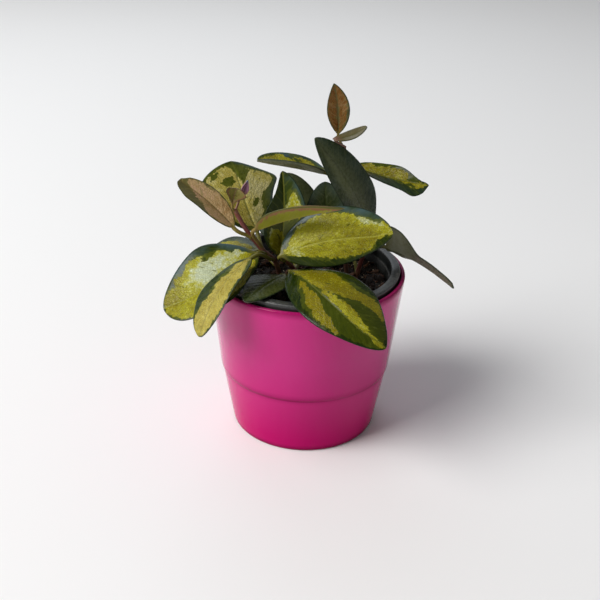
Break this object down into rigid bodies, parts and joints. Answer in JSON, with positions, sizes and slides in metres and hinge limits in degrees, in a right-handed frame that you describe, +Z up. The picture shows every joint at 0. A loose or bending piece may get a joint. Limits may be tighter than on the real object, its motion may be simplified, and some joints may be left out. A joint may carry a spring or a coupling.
{
  "type": "potted plant",
  "caption": "Potted wax plant with thick marbled oval leaves, standing in its black plastic nursery pot inside a glazed tapered cover pot",
  "frame": {"origin": "The middle of the cover pot's flat foot, on the surface that it stands on", "axes": "+Z up along the pot's turning axis, -Y towards the front, where the large leaf hangs over the rim, +X to the right seen from the front"},
  "size_m": [0.2035, 0.1767, 0.2542],
  "materials": {
    "glaze": "high gloss magenta glaze",
    "black_plastic": "satin, thin moulded plastic",
    "soil": "loose damp potting mix with bark chips",
    "stem": "smooth woody maroon",
    "leaf_marbled": "waxy gloss, yellow marbled with dark green",
    "leaf_green": "waxy gloss, dark green",
    "leaf_bronze": "waxy gloss, bronze young leaf",
    "bud_purple": "satin, pink violet bud"
  },
  "bodies": {
    "root": {"cover_pot": "glaze", "nursery_pot": "black_plastic", "potting_soil": "soil", "stem_left": "stem", "stem_middle": "stem", "stem_tall": "stem", "stem_right": "stem", "leaf_top": "leaf_bronze", "leaf_top_partner": "leaf_green", "leaf_upper_dark": "leaf_green", "leaf_upper_left": "leaf_marbled", "leaf_upper_right": "leaf_marbled", "leaf_left_bronze": "leaf_bronze", "leaf_centre": "leaf_marbled", "bud_leaf": "leaf_marbled", "bud_tip": "bud_purple", "leaf_back_left": "leaf_marbled", "leaf_boat": "leaf_green", "leaf_centre_back": "leaf_marbled", "leaf_dark_behind": "leaf_green", "leaf_dark_middle": "leaf_green", "leaf_low_left": "leaf_marbled", "leaf_low_left_front": "leaf_bronze", "leaf_low_left_behind": "leaf_green", "leaf_left_rim": "leaf_green", "leaf_front_right": "leaf_marbled", "leaf_right_hanging": "leaf_green", "leaf_rear_left": "leaf_marbled", "leaf_rear_right": "leaf_green"}
  },
  "joints": []
}
